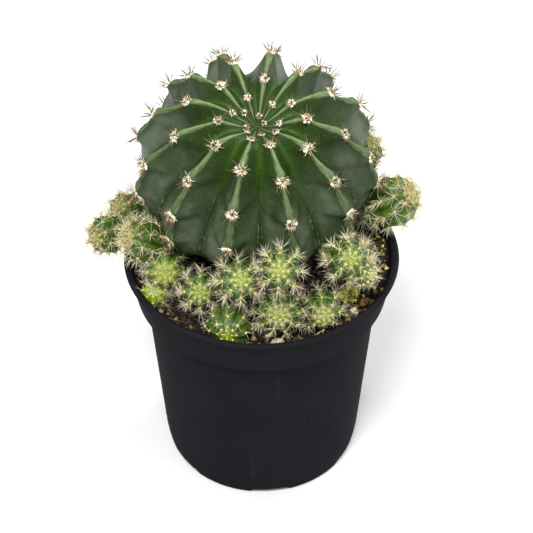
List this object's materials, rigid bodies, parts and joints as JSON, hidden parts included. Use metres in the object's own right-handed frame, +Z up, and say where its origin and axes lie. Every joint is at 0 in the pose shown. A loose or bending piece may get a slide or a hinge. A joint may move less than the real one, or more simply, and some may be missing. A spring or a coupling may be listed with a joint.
{
  "type": "potted round cactus",
  "caption": "Ribbed globe cactus with a ring of small pups round its foot, growing in soil in a round tapered nursery pot.",
  "frame": {"origin": "middle of the pot's underside, in the plane that the pot stands on", "axes": "+Z up along the pot's axis; -Y is the side that the crown leans to, which the picture is taken from; +X is to the right in the picture"},
  "size_m": [0.1485, 0.1315, 0.1922],
  "materials": {
    "pot_plastic": "near-black charcoal satin moulded plastic, with fine dust",
    "soil_mix": null,
    "stem_flesh": "dark green waxy skin with a grey bloom, lighter yellow-green rib crests, cream wool tufts",
    "pup_flesh": "mid green waxy skin, yellow-green crowns, small yellow tufts with fine white spines",
    "pale_stone": "dull cream grit",
    "bark": "orange-brown bark chip",
    "moss": "dry yellow-green moss crumbs"
  },
  "bodies": {
    "root": {"pot": "pot_plastic", "soil": "soil_mix", "main_stem": "stem_flesh", "pup_01": "pup_flesh", "pup_02": "pup_flesh", "pup_03": "pup_flesh", "pup_04": "pup_flesh", "pup_05": "pup_flesh", "pup_06": "pup_flesh", "pup_07": "pup_flesh", "pup_08": "pup_flesh", "pup_09": "pup_flesh", "pup_10": "pup_flesh", "pup_11": "pup_flesh", "pup_12": "pup_flesh", "pup_13": "pup_flesh", "pup_14": "pup_flesh", "pup_15": "pup_flesh", "pup_16": "pup_flesh", "pup_17": "pup_flesh", "pup_18": "pup_flesh", "pup_19": "pup_flesh", "pup_20": "pup_flesh", "pup_21": "pup_flesh", "stone_front": "pale_stone", "stone_right": "pale_stone", "bark_chip": "bark", "moss_clump": "moss"}
  },
  "joints": []
}
